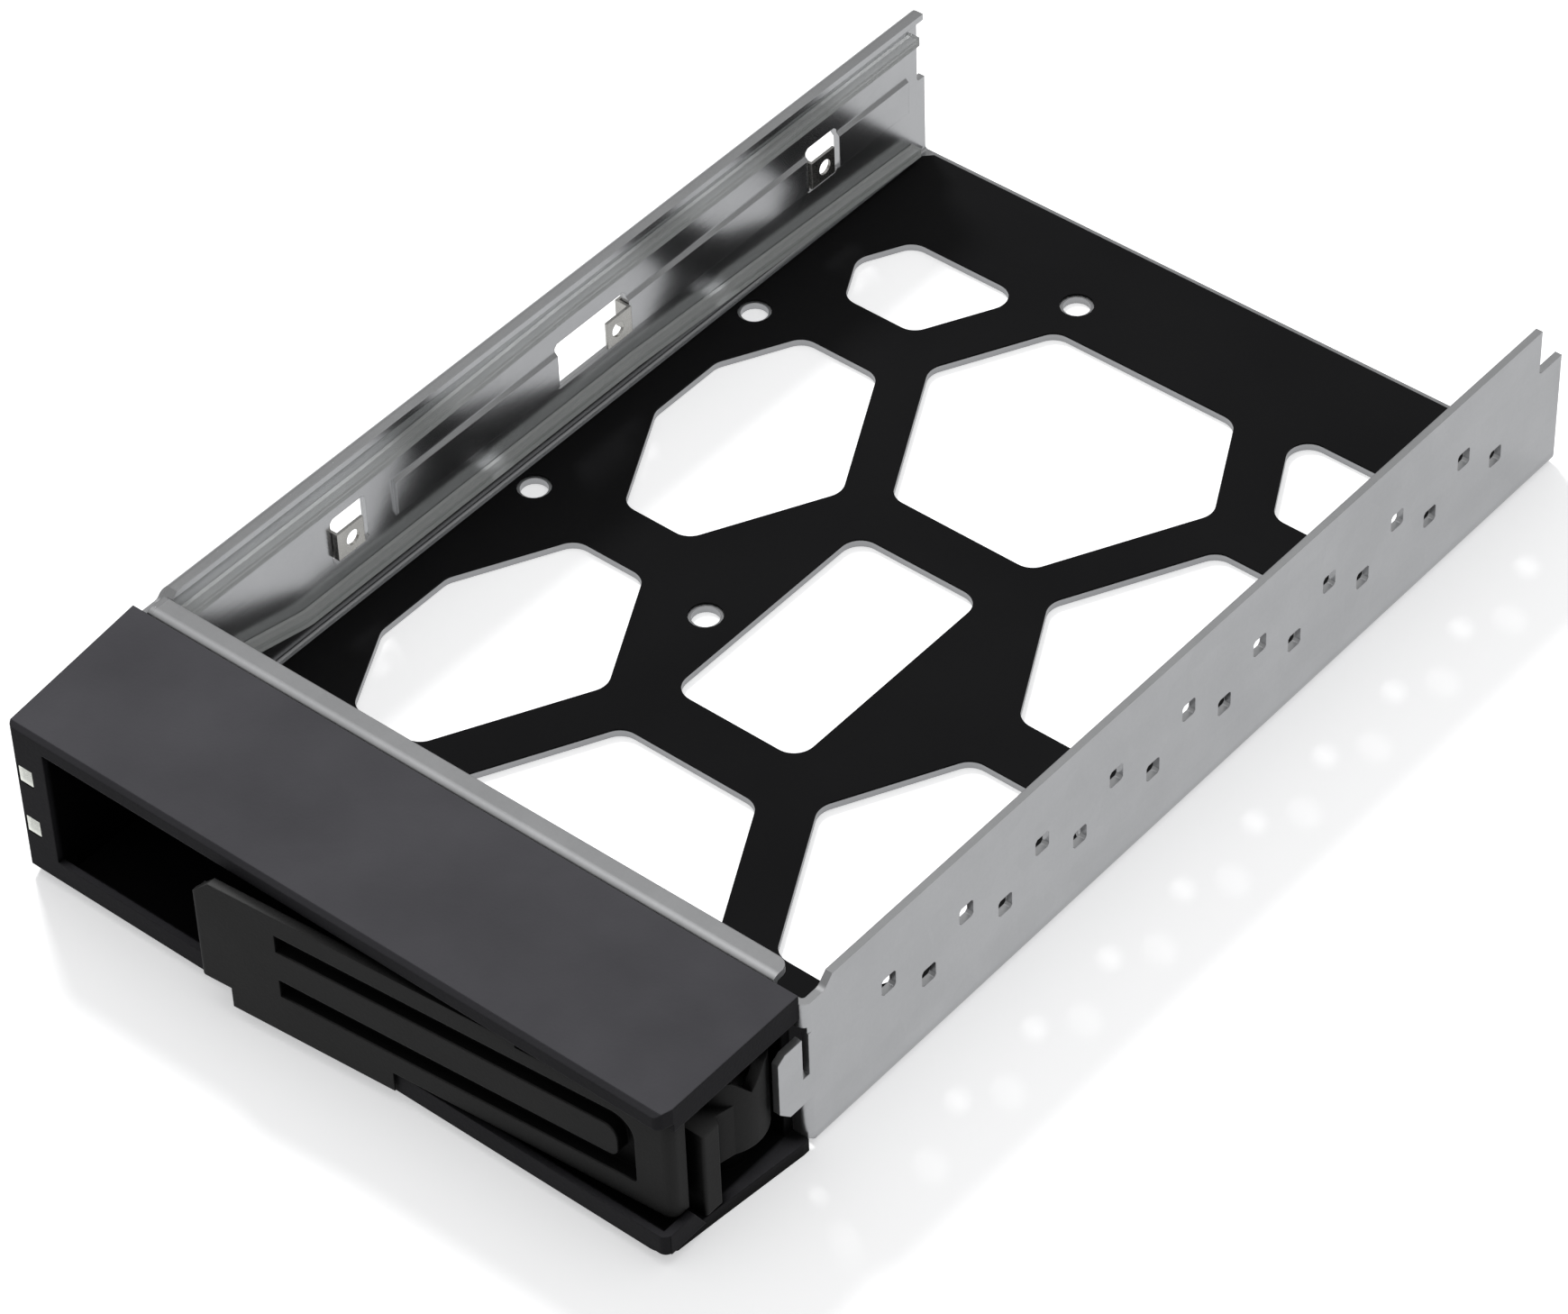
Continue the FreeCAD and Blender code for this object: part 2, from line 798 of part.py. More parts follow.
def pivot_bracket():
    """Insert under the bezel's top: a plate for the pin's upper end, and a leg for two screws."""
    y1 = shell_back_y - 0.1
    y0 = pivot_y - bracket_front
    x1 = bracket_right_x
    top = bracket_high_z - 0.05
    cut = bracket_front_cut
    plate = slab("xy", bracket_plate_z, top, [
        (bracket_left_x, y0 + cut),
        (bracket_left_x + cut, y0),
        (x1, y0),
        (x1, pivot_y - bracket_notch),
        (x1 - bracket_notch, pivot_y),
        (x1, pivot_y + bracket_notch),
        (x1, y1),
        (bracket_left_x, y1),
    ])
    low = bracket_plate_z - bracket_flange
    side = block(x1 - sheet, x1, pivot_y + bracket_notch, y1, low, bracket_plate_z + 0.2)
    leg = block(bracket_left_x, bracket_left_x + bracket_leg, shell_back_y - screw_reach, y1, bracket_low_z,
                bracket_plate_z + 0.2)
    bracket = fuse(plate, leg, side)
    bracket = bracket.cut(rod(pivot_x, pivot_y, bracket_plate_z - 1, bracket_high_z + 1, pin_r + 0.02))
    for name, x, z in screw_places():
        if name.startswith("bracket_screw"):
            bracket = bracket.cut(bar_y(x, z, shell_back_y - screw_reach + 0.8, y1 + 1, screw_r + 0.02))
    return bracket


def screw(x, z):
    """Pan head screw along Y, its head on the front wall's inner face."""
    face = tray_front + sheet
    head = bar_y(x, z, face, face + screw_head, screw_head_r)
    shank = bar_y(x, z, shell_back_y - screw_reach + 1.2, face + 0.2, screw_r)
    return fuse(head, shank)


# Light guides

def guide_shape(path, window_z, extra):
    """Light guide, or with extra its channel: a strip along a path of Y and Z, inside its plan outline."""
    back = tray_rear - guide_rear_gap + extra
    face = bezel_front + 0.06 - extra * 6
    left = -bezel_left_front + bezel_corner + 0.1
    narrow = bezel_front + window_depth
    wide = tray_front - 3.0
    plan = slab("xy", sheet, bezel_top, [
        (guide_outer_x - extra, back),
        (guide_outer_x - extra, wide),
        (left - extra, narrow),
        (left - extra, face),
        (left + window_reach + extra, face),
        (left + window_reach + extra, narrow),
        (guide_inner_x + extra, wide),
        (guide_inner_x + extra, back),
    ])
    half = window_height / 2 + extra
    strip = slab("yz", guide_outer_x - 4, guide_inner_x + 8, band(path, guide_height + 2 * extra))
    end = block(guide_outer_x - 4, guide_inner_x + 8, face, narrow + extra, window_z - half, window_z + half)
    return fuse(strip, end).common(plan)


def upper_guide_shape(extra):
    """Upper guide: it climbs inside the bezel and then runs close under the left wall's lip."""
    path = [
        (bezel_front, upper_window_z, 0.0),
        (bezel_front + window_depth + 1.0, upper_window_z, 4.0),
        (tray_front - 4.0, upper_guide_front_z, 4.0),
        (tray_front + upper_guide_rise, upper_guide_front_z, 20.0),
        (tray_front + 2 * upper_guide_rise, upper_guide_rear_z, 20.0),
        (tray_rear - guide_rear_gap, upper_guide_rear_z, 0.0),
    ]
    return guide_shape(path, upper_window_z, extra)


def lower_guide_shape(extra):
    """Lower guide: it leaves the bezel level, falls to below the bead and sinks towards the rear."""
    level = tray_front + lower_guide_level
    path = [
        (bezel_front, lower_window_z, 0.0),
        (level, lower_window_z, 8.0),
        (level + lower_guide_fall, lower_guide_mid_z, 8.0),
        (tray_rear - lower_guide_tail, lower_guide_mid_z, 0.0),
        (tray_rear - guide_rear_gap, lower_guide_rear_z, 0.0),
    ]
    return guide_shape(path, lower_window_z, extra)


def retainer_body(extra):
    """Block pushed into the left post from the pocket's side, between the two guides' channels."""
    low = lower_window_z + guide_height / 2 + guide_clearance + 0.85 - extra
    high = upper_window_z - guide_height / 2 - guide_clearance - 0.85 + extra
    back = shell_back_y - screw_reach - 1.2
    return block(-post_inner_x - retainer_depth - extra, -post_inner_x + 10 * extra,
                 back - retainer_length - extra, back + extra, low, high)


# Lever

def face_y(x):
    """Y of the lever's slanted front face."""
    return bezel_front + lever_recess - (lever_right_x - x) * math.tan(math.radians(lever_angle))


def lever_back_y(x, thickness):
    """Y of a face behind the front face."""
    return face_y(x) + thickness / math.cos(math.radians(lever_angle))


def release_lever():
    tip = lever_tip_x
    right = lever_right_x
    panel = slab("xy", lever_low_z, lever_high_z, [
        (tip, face_y(tip), 0.8),
        (right, face_y(right), lever_corner),
        (right, lever_back_y(right, lever_panel)),
        (tip, lever_back_y(tip, lever_panel)),
    ])
    lip_x = tip + lip_start
    lip_back = bezel_front - lever_clearance
    lip_end = right - (lever_recess + lever_clearance + lip_least) / math.tan(math.radians(lever_angle))
    lip = slab("xy", lip_low_z, lever_low_z + 0.5, [
        (lip_x, face_y(lip_x)),
        (lip_end, face_y(lip_end)),
        (lip_end, lip_back),
        (lip_x, lip_back),
    ])
    rib_x0 = tip + 5.0
    rib_x1 = pivot_x - 4.5
    rib = slab("xy", rib_low_z, rib_high_z, [
        (rib_x0, lever_back_y(rib_x0, lever_panel - 0.3)),
        (rib_x1, lever_back_y(rib_x1, lever_panel - 0.3)),
        (rib_x1, lever_back_y(rib_x1, lever_panel + rib_depth)),
        (rib_x0, lever_back_y(rib_x0, lever_panel + rib_depth * 0.5)),
    ])
    claw_back = pivot_y - claw_setback
    claw_front = claw_back - claw_length
    neck = pivot_x + claw_neck
    arm = slab("xy", hub_low_z, claw_high_z, [
        (pivot_x - hub_r + 0.1, pivot_y),
        (pivot_x - 4.0, lever_back_y(pivot_x - 4.0, lever_panel - 0.4)),
        (neck, lever_back_y(neck, lever_panel - 0.4)),
        (neck, claw_front + 0.4),
        (claw_tip_x - 1.1, claw_back - 0.4),
        (pivot_x + hub_r - 0.2, pivot_y),
    ])
    claw = slab("xy", claw_low_z, claw_high_z, [
        (neck - 1.2, claw_front),
        (claw_tip_x, claw_front, 0.4),
        (claw_tip_x, claw_back - 0.8),
        (claw_tip_x - 1.4, claw_back),
        (neck - 1.2, claw_back),
    ])
    lever = fuse(panel, lip, rib, rod(pivot_x, pivot_y, hub_low_z, hub_high_z, hub_r), arm, claw)
    lever = cut_hub(cut_lever_face(lever))
    far = right - lever_drop_length
    step = block(far, right + 1, face_y(right) - 4, face_y(right) + 6, lever_high_z - lever_right_drop,
                 lever_high_z + 1)
    rebate = slab("xy", lever_high_z - top_rebate, lever_high_z + 1, [
        (tip - 1, lever_back_y(tip - 1, top_edge)),
        (far, lever_back_y(far, top_edge)),
        (far, lever_back_y(far, lever_panel + 1)),
        (tip - 1, lever_back_y(tip - 1, lever_panel + 1)),
    ])
    return lever.cut(step).cut(rebate).removeSplitter()


def cut_hub(lever):
    """Bore of the hub, the cup for the torsion spring and the notch in the cup's rim."""
    lever = lever.cut(rod(pivot_x, pivot_y, 0, bezel_top, pin_r + pin_fit))
    lever = lever.cut(rod(pivot_x, pivot_y, hub_high_z - hub_cup_depth, bezel_top, hub_cup_r))
    notch = slab("yz", pivot_x, pivot_x + hub_r + 1, [
        (pivot_y - 0.8, hub_high_z - hub_notch),
        (pivot_y - 0.8 + hub_notch, hub_high_z + 0.5),
        (pivot_y - 0.8 - hub_notch, hub_high_z + 0.5),
    ])
    return lever.cut(notch)


def cut_lever_face(lever):
    """Long grooves of the lever's face, joined at the right, and the corner of its tip."""
    shift = groove_depth / math.cos(math.radians(lever_angle))
    half = groove_width / 2
    left = groove_left_x
    right = groove_right_x
    inner = right - groove_end_width
    strip = slab("xy", lever_low_z, lever_high_z, [
        (left - 1, face_y(left - 1) - 2),
        (right + 1, face_y(right + 1) - 2),
        (right + 1, face_y(right + 1) + shift),
        (left - 1, face_y(left - 1) + shift),
    ])
    outline = slab("xz", face_y(left) - 6, face_y(right) + 6, [
        (left, groove_high_z + half),
        (right, groove_high_z + half, groove_outer_r),
        (right, groove_low_z - half, 0.5),
        (left, groove_low_z - half),
        (left, groove_low_z + half),
        (inner, groove_low_z + half, groove_inner_r * 0.6),
        (inner, groove_high_z - half, groove_inner_r),
        (left, groove_high_z - half),
    ])
    tip = lever_tip_x
    corner = slab("xz", face_y(tip) - 3, bezel_front + 12, [
        (tip - 1, lever_high_z + 1),
        (tip - 1, lever_high_z - tip_chamfer),
        (tip, lever_high_z - tip_chamfer),
        (tip + tip_chamfer, lever_high_z),
        (tip + tip_chamfer, lever_high_z + 1),
    ])
    return lever.cut(strip.common(outline)).cut(corner)


def pivot_pin():
    return rod(pivot_x, pivot_y, 0.7, bracket_high_z - 0.1, pin_r)


def pin_retaining_ring():
    """Snap ring on the pin, with its mouth to the front."""
    low = boss_top_z + washer_play
    ring = rod(pivot_x, pivot_y, low, low + ring_thickness, pin_r * 1.9)
    ring = ring.cut(rod(pivot_x, pivot_y, low - 1, low + 2, pin_r))
    return ring.cut(block(pivot_x - pin_r * 0.7, pivot_x + pin_r * 0.7, pivot_y - 9, pivot_y, low - 1, low + 2))


def pivot_washer(low):
    disc = rod(pivot_x, pivot_y, low, low + washer_thickness, washer_r)
    return disc.cut(rod(pivot_x, pivot_y, low - 1, low + 2, pin_r + pin_fit))


def lever_spring():
    """Torsion spring in the hub's cup, with a hook below and a leg to the bracket's leg above."""
    low = hub_high_z - hub_cup_depth + washer_thickness + wire / 2 + spring_gap
    half = wire / 2
    helix = Part.makeHelix(coil_pitch, coil_turns * coil_pitch, coil_r)
    helix.translate(Vector(pivot_x, pivot_y, low))
    corners = [
        Vector(pivot_x + coil_r - half, pivot_y, low - half),
        Vector(pivot_x + coil_r + half, pivot_y, low - half),
        Vector(pivot_x + coil_r + half, pivot_y, low + half),
        Vector(pivot_x + coil_r - half, pivot_y, low + half),
    ]
    profile = Part.makePolygon(corners + corners[:1])
    coil = Part.Wire(helix.Edges).makePipeShell([profile], True, True)
    x = pivot_x + coil_r
    hook = block(x - half, x + half, pivot_y - spring_hook, pivot_y + 0.1, low - half, low + half)
    turn = 2 * math.pi * coil_turns
    top = low + coil_turns * coil_pitch
    end_x = pivot_x + coil_r * math.cos(turn)
    end_y = pivot_y + coil_r * math.sin(turn)
    leg = block(bracket_left_x + bracket_leg, end_x + 0.1, end_y - half, end_y + half, top - half, top + half)
    return fuse(coil, hook, leg)


# Build

os.makedirs("parts", exist_ok=True)

nodes = {
    "tray_pan": tray_pan(),
    "insulating_film": insulating_film(),
    "bezel_shell": bezel_shell(),
    "pivot_bracket": pivot_bracket(),
    "light_guide_upper": upper_guide_shape(0.0),
    "light_guide_lower": lower_guide_shape(0.0),
    "guide_retainer": retainer_body(0.0),
    "release_lever": release_lever(),
    "pivot_pin": pivot_pin(),
    "pin_retaining_ring": pin_retaining_ring(),
    "pivot_washer_lower": pivot_washer(hub_low_z - washer_play - washer_thickness),
    "pivot_washer_upper": pivot_washer(hub_high_z - hub_cup_depth + washer_play),
    "lever_spring": lever_spring(),
}
for name, start, end, side in windows():
    nodes[name] = guide_spring(start, end, side)
for name, x, z in screw_places():
    nodes[name] = screw(x, z)

for name, shape in nodes.items():
    solids = shape.Solids
    result = solids[0] if len(solids) == 1 else Part.makeCompound(solids)
    result.exportStep("parts/" + name + ".step")
    print(name, len(solids), result.isValid(), round(result.Volume, 1))
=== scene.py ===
import json
import math
import bpy
from mathutils import Matrix, Vector

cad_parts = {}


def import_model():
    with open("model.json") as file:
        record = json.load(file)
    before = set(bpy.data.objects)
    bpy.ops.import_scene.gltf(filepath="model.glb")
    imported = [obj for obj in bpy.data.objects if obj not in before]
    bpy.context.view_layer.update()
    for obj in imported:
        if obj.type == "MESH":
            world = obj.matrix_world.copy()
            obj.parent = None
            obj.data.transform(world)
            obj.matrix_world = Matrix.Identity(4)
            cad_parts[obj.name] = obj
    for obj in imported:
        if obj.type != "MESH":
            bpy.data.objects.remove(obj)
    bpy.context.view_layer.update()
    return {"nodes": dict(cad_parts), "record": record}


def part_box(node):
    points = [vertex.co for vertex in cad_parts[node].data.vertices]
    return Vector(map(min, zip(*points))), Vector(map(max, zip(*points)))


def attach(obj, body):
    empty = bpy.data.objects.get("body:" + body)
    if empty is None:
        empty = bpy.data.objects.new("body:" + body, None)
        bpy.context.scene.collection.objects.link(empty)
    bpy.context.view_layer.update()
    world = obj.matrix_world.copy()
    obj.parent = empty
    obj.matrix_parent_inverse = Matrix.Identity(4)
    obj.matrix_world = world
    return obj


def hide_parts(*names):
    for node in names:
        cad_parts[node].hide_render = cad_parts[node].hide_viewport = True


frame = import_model()
nodes = frame["nodes"]

MM = 0.001


# Node trees

def grey(level):
    return level, level, level, 1


def tint(colour, times=1.0):
    """Opaque colour with each of its levels times a factor."""
    return (*(level * times for level in colour), 1)


class Tree:
    """Node tree with short ways to add nodes and to reckon with their values."""

    def __init__(self, tree):
        self.tree = tree

    def set(self, socket, value):
        if isinstance(value, bpy.types.NodeSocket):
            self.tree.links.new(value, socket)
        else:
            socket.default_value = value

    def add(self, kind, settings=None, **values):
        """New node with its settings, and with inputs set or linked by their names."""
        node = self.tree.nodes.new(kind)
        for key, value in (settings or {}).items():
            setattr(node, key, value)
        for key, value in values.items():
            self.set(node.inputs[key.replace("_", " ")], value)
        return node

    def math(self, operation, *values):
        node = self.add("ShaderNodeMath", {"operation": operation})
        for socket, value in zip(node.inputs, values):
            self.set(socket, value)
        return node.outputs[0]

    def vector_math(self, operation, first, second):
        node = self.add("ShaderNodeVectorMath", {"operation": operation})
        self.set(node.inputs[0], first)
        self.set(node.inputs[1], second)
        return node.outputs

    def vector(self, x=0.0, y=0.0, z=0.0):
        return self.add("ShaderNodeCombineXYZ", X=x, Y=y, Z=z).outputs[0]

    def axes(self, vector):
        return self.add("ShaderNodeSeparateXYZ", Vector=vector).outputs

    def spread(self, value, start, end, low=0.0, high=1.0):
        """Value that is low up to the start, high past the end, and changes evenly in between."""
        node = self.add("ShaderNodeMapRange", Value=value, From_Min=start, From_Max=end)
        self.set(node.inputs["To Min"], low)
        self.set(node.inputs["To Max"], high)
        return node.outputs["Result"]

    def mix(self, factor, first, second, kind="RGBA"):
        node = self.add("ShaderNodeMix", {"data_type": kind}, Factor=factor, A=first, B=second)
        return node.outputs["Result"]

    def noise(self, place, size, detail):
        """Noise with patches about one size across."""
        scale = self.math("DIVIDE", 1.0, size)
        return self.add("ShaderNodeTexNoise", Vector=place, Scale=scale, Detail=detail).outputs["Fac"]


class Group(Tree):
    """Shader node group. Its inputs are given with their kinds and values, its outputs with their kinds."""

    def __init__(self, name, inputs, outputs):
        super().__init__(bpy.data.node_groups.new(name, "ShaderNodeTree"))
        for label, (kind, value) in inputs.items():
            socket = self.tree.interface.new_socket(label, in_out="INPUT", socket_type="NodeSocket" + kind)
            if value is not None:
                socket.default_value = value
        for label, kind in outputs.items():
            self.tree.interface.new_socket(label, in_out="OUTPUT", socket_type="NodeSocket" + kind)
        self.start = self.add("NodeGroupInput").outputs
        self.end = self.add("NodeGroupOutput").inputs


class Material(Tree):
    """Material whose Principled shader takes plain values and the outputs of other nodes."""

    def __init__(self, name, **values):
        self.material = bpy.data.materials.new(name)
        self.material.use_nodes = True
        super().__init__(self.material.node_tree)
        self.surface = self.tree.nodes["Principled BSDF"].inputs
        self.place = self.add("ShaderNodeTexCoord").outputs["Object"]
        self.paint(**values)

    def paint(self, **values):
        for key, value in values.items():
            self.set(self.surface[key.replace("_", " ")], value)

    def group(self, tree, **values):
        return self.add("ShaderNodeGroup", {"node_tree": tree}, **values).outputs

    def patches(self, size, first, second, amount):
        made = self.add("ShaderNodeGroup", {"node_tree": PATCHES}, Place=self.place, Size=size, Amount=amount)
        self.set(made.inputs["First"], tint(first))
        self.set(made.inputs["Second"], tint(second))
        return made.outputs["Color"]

    def grain(self, size, place=None):
        """Height of the grain, from 0 to 1, so that it serves as a mask too."""
        return self.group(GRAIN, Place=self.place if place is None else place, Size=size)["Height"]

    def raised(self, mask, least, rise):
        """Value that goes up from the least by as much as the rise where the mask is high."""
        return self.math("MULTIPLY_ADD", mask, rise, least)

    def bump(self, height, strength, distance, normal=None):
        """Normal that follows the height, over the mesh's own normal or over a given one."""
        node = self.add("ShaderNodeBump", Height=height, Strength=strength, Distance=distance)
        if normal is not None:
            self.set(node.inputs["Normal"], normal)
        return node.outputs["Normal"]


# Effects that materials share

def grain_group():
    """Fine moulded or rolled grain, at a size in metres."""
    inputs = {"Place": ("Vector", None), "Size": ("Float", 0.4 * MM)}
    group = Group("Surface grain", inputs, {"Height": "Float"})
    group.set(group.end["Height"], group.noise(group.start["Place"], group.start["Size"], 3.0))
    return group.tree


def patches_group():
    """Soft patches of a second colour over the first, at a size in metres."""
    inputs = {
        "Place": ("Vector", None),
        "Size": ("Float", 20 * MM),
        "First": ("Color", grey(0.5)),
        "Second": ("Color", grey(0.4)),
        "Amount": ("Float", 1.0),
    }
    group = Group("Colour patches", inputs, {"Color": "Color"})
    patch = group.spread(group.noise(group.start["Place"], group.start["Size"], 4.0), 0.35, 0.65)
    share = group.math("MULTIPLY", patch, group.start["Amount"])
    group.set(group.end["Color"], group.mix(share, group.start["First"], group.start["Second"]))
    return group.tree


def edges_group():
    """Rounded normal at edges, and a mask that is 1 on worn edges."""
    flat_cosine = 0.99
    worn_cosine = 0.8
    inputs = {"Radius": ("Float", 0.3 * MM), "Wear": ("Float", 1.0)}
    group = Group("Edge rounding", inputs, {"Normal": "Vector", "Mask": "Float"})
    bevel = group.add("ShaderNodeBevel", {"samples": 4}, Radius=group.start["Radius"])
    rounded = bevel.outputs["Normal"]
    flat = group.add("ShaderNodeNewGeometry").outputs["Normal"]
    cosine = group.vector_math("DOT_PRODUCT", rounded, flat)["Value"]
    worn = group.spread(cosine, flat_cosine, worn_cosine)
    group.set(group.end["Normal"], rounded)
    group.set(group.end["Mask"], group.math("MULTIPLY", worn, group.start["Wear"]))
    return group.tree


def hollows_group():
    """Mask that is 1 in deep hollows and 0 on open faces, for painting shade into hollows."""
    open_share = 0.95
    deep_share = 0.62
    inputs = {"Reach": ("Float", 6 * MM), "Amount": ("Float", 1.0)}
    group = Group("Hollow shade", inputs, {"Mask": "Float"})
    sky = group.add("ShaderNodeAmbientOcclusion", {"samples": 8}, Distance=group.start["Reach"])
    shade = group.spread(sky.outputs["AO"], open_share, deep_share)
    group.set(group.end["Mask"], group.math("MULTIPLY", shade, group.start["Amount"]))
    return group.tree


def dust_and_sheen_group():
    """Mask for dust that settles on upward faces and for a painted sheen of light from above on them, thinner
    where patches were wiped.
    """
    least_dust_and_sheen = 0.68
    inputs = {"Place": ("Vector", None), "Size": ("Float", 20 * MM)}
    group = Group("Settled dust", inputs, {"Mask": "Float"})
    normal = group.add("ShaderNodeNewGeometry").outputs["Normal"]
    upward = group.spread(group.axes(normal)["Z"], 0.55, 0.95)
    patch = group.noise(group.start["Place"], group.start["Size"], 5.0)
    patch_share = group.spread(patch, 0.3, 0.7, least_dust_and_sheen, 1.0)
    group.set(group.end["Mask"], group.math("MULTIPLY", upward, patch_share))
    return group.tree


def inside_group():
    """Mask that is 1 inside a box, given by its lowest and highest corners."""
    inputs = {
        "Place": ("Vector", None),
        "Low": ("Vector", None),
        "High": ("Vector", None),
        "Softness": ("Float", 0.6 * MM),
    }
    group = Group("Inside of a box", inputs, {"Mask": "Float"})
    start = group.start
    past_low = group.vector_math("SUBTRACT", start["Place"], start["Low"])["Vector"]
    before_high = group.vector_math("SUBTRACT", start["High"], start["Place"])["Vector"]
    least, *others = [*group.axes(past_low), *group.axes(before_high)]
    for depth in others:
        least = group.math("MINIMUM", least, depth)
    group.set(group.end["Mask"], group.spread(least, 0.0, start["Softness"]))
    return group.tree


GRAIN = grain_group()
PATCHES = patches_group()
EDGES = edges_group()
HOLLOWS = hollows_group()
DUST_AND_SHEEN = dust_and_sheen_group()
INSIDE = inside_group()


# Finishes

def plastic(name, dark, light, specular, depth, dust_and_sheen_tone=1.75, rooms=(), turn=0.0, softness=0.6 * MM):
    """Moulded plastic: spark-eroded grain, slightly polished edges, and painted shade that darkens its
    hollows.

    Dark and light are the colours of its patches, and dust on upward faces, with a painted sheen of light
    from above, has the light one times the dust and sheen tone. The rooms are boxes where shade is painted,
    so they stay dark. Each is given by two corners in the part's frame, turned back about Z by the turn.
    """
    rough = 0.5
    edge_polish = 0.15
    speckle = 0.1
    grain_size = 0.4 * MM
    edge_tone = 1.8
    room_shade = 0.93
    skin = Material(name, Specular_IOR_Level=specular)
    edges = skin.group(EDGES, Radius=0.3 * MM, Wear=0.5)
    grain = skin.grain(grain_size)
    hollow_shade = skin.group(HOLLOWS, Reach=3 * MM, Amount=0.9)["Mask"]
    turned = skin.add("ShaderNodeVectorRotate", {"rotation_type": "Z_AXIS"}, Vector=skin.place, Angle=-turn)
    for low, high in rooms:
        room = skin.group(INSIDE, Place=turned.outputs["Vector"], Low=low, High=high, Softness=softness)
        hollow_shade = skin.math("MAXIMUM", hollow_shade, skin.math("MULTIPLY", room["Mask"], room_shade))
    dust_and_sheen = skin.group(DUST_AND_SHEEN, Place=skin.place, Size=15 * MM)["Mask"]
    colour = skin.patches(18 * MM, dark, light, 0.7)
    # Dust, together with a painted sheen of light from above, lightens upward faces.
    colour = skin.mix(dust_and_sheen, colour, tint(light, dust_and_sheen_tone))
    colour = skin.mix(edges["Mask"], colour, tint(light, edge_tone))
    # Painted shade: in hollows and in the rooms the colour turns nearly black.
    colour = skin.mix(hollow_shade, colour, grey(0.001))
    polished = skin.raised(edges["Mask"], rough, -edge_polish)
    speckled = skin.raised(grain, -speckle / 2, speckle)
    skin.paint(
        Base_Color=colour,
        Roughness=skin.math("ADD", polished, speckled),
        Normal=skin.bump(grain, depth, grain_size * 0.3, edges["Normal"]),
    )
    return skin.material


def bezel_room():
    """Corners of the room inside the housing, a wall's thickness within its outer faces, open at the back,
    where shade is painted.
    """
    low, high = (Vector(corner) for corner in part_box("bezel_shell"))
    inset_low = Vector((5.0, 2.4, 1.2)) * MM
    inset_high = Vector((2.0, -1.0, 1.2)) * MM
    return tuple(low + inset_low), tuple(high - inset_high)


def jamb_room():
    """Corners of the box over the inner face of the housing's left end, behind its front edge, where shade is
    painted.
    """
    low, high = (Vector(corner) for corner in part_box("bezel_shell"))
    inset_low = Vector((4.4, 0.4, 3.6)) * MM
    width = 9 * MM
    depth = 6 * MM
    top = 1.8 * MM
    return tuple(low + inset_low), (low.x + width, low.y + depth, high.z - top)


FACE_ANGLE = math.radians(4.4)


def groove_room():
    """Corners of the box behind the lever's slanted face that holds its grooves, in the face's own frame,
    where shade is painted into the grooves.
    """
    low = Vector(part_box("release_lever")[0])
    tip = Matrix.Rotation(-FACE_ANGLE, 3, "Z") @ Vector((low.x, low.y, 0))
    first = Vector((12.2, 0.08, 8.3)) * MM
    last = Vector((64.6, 2.4, 19.2)) * MM
    return tuple(tip + first), tuple(tip + last)


def film():
    """Thin black film with a soft sheen."""
    skin = Material("Insulating film", Specular_IOR_Level=0.06)
    grain = skin.grain(0.6 * MM)
    skin.paint(
        Base_Color=skin.patches(30 * MM, (0.0075, 0.0075, 0.008), (0.0095, 0.0095, 0.010), 0.8),
        Roughness=skin.raised(grain, least=0.54, rise=0.12),
        Normal=skin.bump(grain, strength=0.12, distance=0.1 * MM),
    )
    return skin.material


def left_wall_gloss(skin, across):
    """Mask of the left wall's inner side, from the middle of its sheet to 2.4 mm from its outer face."""
    outer_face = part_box("tray_pan")[0][0]
    past_middle = skin.spread(across, outer_face + 0.4 * MM, outer_face + 0.6 * MM)
    before_bay = skin.spread(across, outer_face + 2.5 * MM, outer_face + 2.3 * MM)
    return skin.math("MULTIPLY", past_middle, before_bay)


def galvanised_sheet():
    """Sheet with faint zinc crystals and rolling lines, a painted contact shadow darkening its foot, and a
    glossier left wall inside.
    """
    crystals_per_metre = 260
    rolling_stretch = (1.0, 0.03, 1.0)
    foot_height = 2.5 * MM
    foot_shadow_strength = 0.5
    gloss_rough = 0.21
    skin = Material("Galvanised sheet", Metallic=0.94)
    axes = skin.axes(skin.place)
    crystals = skin.add("ShaderNodeTexVoronoi", Vector=skin.place, Scale=crystals_per_metre)
    crystal = skin.add("ShaderNodeSeparateColor", Color=crystals.outputs["Color"]).outputs["Red"]
    fine = skin.math("MULTIPLY", skin.grain(0.5 * MM), 0.25)
    foot = skin.spread(axes["Z"], foot_height, 0.0, 0.0, foot_shadow_strength)
    colour = skin.patches(12 * MM, (0.60, 0.605, 0.615), (0.66, 0.665, 0.675), 0.8)
    colour = skin.mix(skin.raised(crystal, fine, 0.08), colour, (0.45, 0.46, 0.47, 1))
    # Painted contact shadow: the sheet darkens towards its foot, over its lowest 2.5 mm.
    colour = skin.mix(foot, colour, (0.3, 0.3, 0.31, 1))
    stretched = skin.add("ShaderNodeMapping", Vector=skin.place, Scale=rolling_stretch)
    lines = skin.grain(0.9 * MM, stretched.outputs["Vector"])
    matte_rough = skin.raised(lines, least=0.26, rise=0.12)
    edges = skin.group(EDGES, Radius=0.15 * MM, Wear=0.4)
    skin.paint(
        Base_Color=colour,
        Roughness=skin.mix(left_wall_gloss(skin, axes["X"]), matte_rough, gloss_rough, "FLOAT"),
        Normal=skin.bump(lines, 0.06, 0.1 * MM, edges["Normal"]),
    )
    return skin.material


